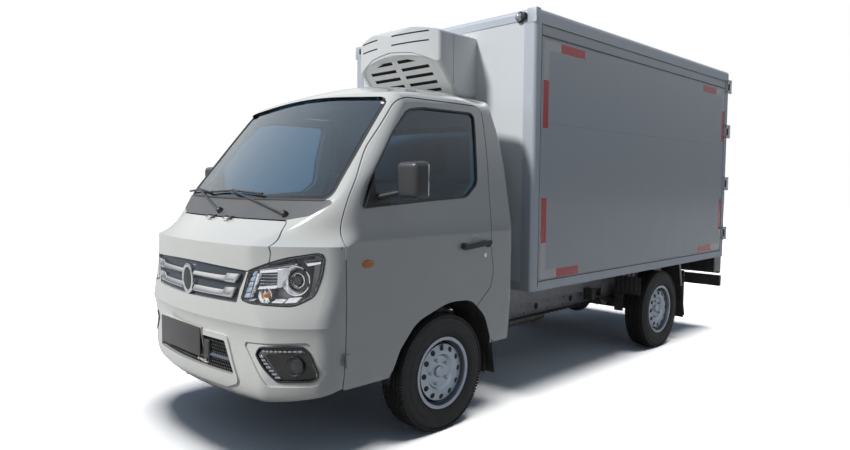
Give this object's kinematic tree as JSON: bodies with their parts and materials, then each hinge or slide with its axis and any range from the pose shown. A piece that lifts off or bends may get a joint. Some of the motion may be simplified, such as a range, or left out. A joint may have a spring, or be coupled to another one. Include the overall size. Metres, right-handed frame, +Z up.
{
  "type": "small refrigerated truck",
  "caption": "Small two-axle refrigerated truck: short-nosed two-seat cab, insulated box with rear doors and a cooling unit over the cab; it rolls, steers and opens.",
  "frame": {"origin": "middle of the footprint on the ground, below the centre of the bounding box", "axes": "+X forward, +Y to the truck's left, +Z up"},
  "size_m": [4.833, 2.09, 2.384],
  "materials": {
    "body_paint": "gloss off-white paint",
    "box_panel": "satin white glass-fibre skin",
    "unit_white": "gloss white moulding",
    "black_plastic": "moulded black plastic",
    "grey_plastic": "grey textured plastic",
    "dark_trim": "grained dark trim",
    "seat_cloth": "woven dark cloth",
    "lamp_lens": "clear moulded lens",
    "lamp_red": "red and amber lens",
    "glazing": "tinted glass",
    "chassis_black": "black chassis paint",
    "cast_metal": "bare casting",
    "zinc_steel": "zinc plate",
    "stainless": "stainless steel",
    "exhaust_steel": "heat-stained steel",
    "aluminium_edge": "anodised section",
    "grey_paint": "grey paint",
    "wheel_silver": "silver wheel paint",
    "tyre_rubber": "black rubber"
  },
  "bodies": {
    "root": {"cab_shell": "body_paint", "cab_floor": "body_paint", "front_bumper": "body_paint", "grille": "black_plastic", "headlamps": "lamp_lens", "fog_lamps": "black_plastic", "cab_glass": "glazing", "cowl": "grey_plastic", "dashboard": "dark_trim", "seats": "seat_cloth", "frame_rails": "chassis_black", "cross_members": "chassis_black", "subframe": "chassis_black", "cross_bearers": "zinc_steel", "box_sides": "box_panel", "box_front": "box_panel", "box_floor": "box_panel", "box_roof": "box_panel", "rear_portal": "stainless", "box_edges": "aluminium_edge", "hinge_brackets": "stainless", "cooling_unit": "unit_white", "evaporator": "unit_white", "front_suspension": "chassis_black", "rear_axle": "chassis_black", "rear_springs": "chassis_black", "engine": "cast_metal", "propeller_shaft": "chassis_black", "exhaust": "exhaust_steel", "fuel_tank": "chassis_black", "spare_wheel": "tyre_rubber", "splash_guards": "black_plastic", "tail_panel": "grey_paint", "underride_bar": "grey_paint", "lamps": "lamp_red", "tow_eyes": "chassis_black", "wipers": "black_plastic"},
    "hood": {"hood": "body_paint"},
    "door_left": {"door_left": "body_paint", "door_glass_left": "glazing", "door_fittings_left": "black_plastic"},
    "rear_door_left": {"rear_door_left": "box_panel", "rear_door_gear_left": "stainless"},
    "knuckle_left": {"knuckle_left": "cast_metal"},
    "door_right": {"door_right": "body_paint", "door_glass_right": "glazing", "door_fittings_right": "black_plastic"},
    "rear_door_right": {"rear_door_right": "box_panel", "rear_door_gear_right": "stainless"},
    "knuckle_right": {"knuckle_right": "cast_metal"},
    "wheel_front_left": {"tyre_front_left": "tyre_rubber", "rim_front_left": "wheel_silver"},
    "wheel_front_right": {"tyre_front_right": "tyre_rubber", "rim_front_right": "wheel_silver"},
    "wheel_rear_left": {"tyre_rear_left": "tyre_rubber", "rim_rear_left": "wheel_silver"},
    "wheel_rear_right": {"tyre_rear_right": "tyre_rubber", "rim_rear_right": "wheel_silver"}
  },
  "joints": [
    {"name": "hood_hinge", "type": "hinge", "parent": "root", "child": "hood", "pos_m": [2.2425, 0, 1.146], "axis": [0, -1, 0], "range_deg": [0, 55]},
    {"name": "door_left_hinge", "type": "hinge", "parent": "root", "child": "door_left", "pos_m": [2.0455, 0.83, 0.9], "axis": [0, 0, -1], "range_deg": [0, 65]},
    {"name": "door_right_hinge", "type": "hinge", "parent": "root", "child": "door_right", "pos_m": [2.0455, -0.83, 0.9], "axis": [0, 0, 1], "range_deg": [0, 65]},
    {"name": "rear_door_left_hinge", "type": "hinge", "parent": "root", "child": "rear_door_left", "pos_m": [-2.3995, 0.862, 1.5], "axis": [0, 0, -1], "range_deg": [0, 255]},
    {"name": "rear_door_right_hinge", "type": "hinge", "parent": "root", "child": "rear_door_right", "pos_m": [-2.3995, -0.862, 1.5], "axis": [0, 0, 1], "range_deg": [0, 255]},
    {"name": "steer_left", "type": "hinge", "parent": "root", "child": "knuckle_left", "pos_m": [1.3705, 0.668, 0.316], "axis": [0, 0, 1], "range_deg": [-35, 35]},
    {"name": "steer_right", "type": "hinge", "parent": "root", "child": "knuckle_right", "pos_m": [1.3705, -0.668, 0.316], "axis": [0, 0, 1], "range_deg": [-35, 35]},
    {"name": "wheel_front_left_spin", "type": "hinge", "parent": "knuckle_left", "child": "wheel_front_left", "pos_m": [1.3705, 0.73, 0.316], "axis": [0, 1, 0], "continuous": true},
    {"name": "wheel_front_right_spin", "type": "hinge", "parent": "knuckle_right", "child": "wheel_front_right", "pos_m": [1.3705, -0.73, 0.316], "axis": [0, 1, 0], "continuous": true},
    {"name": "wheel_rear_left_spin", "type": "hinge", "parent": "root", "child": "wheel_rear_left", "pos_m": [-1.2395, 0.714, 0.316], "axis": [0, 1, 0], "continuous": true},
    {"name": "wheel_rear_right_spin", "type": "hinge", "parent": "root", "child": "wheel_rear_right", "pos_m": [-1.2395, -0.714, 0.316], "axis": [0, 1, 0], "continuous": true}
  ],
  "couplings": [
    {"joint": "steer_right", "follows": "steer_left", "ratio": 1}
  ]
}
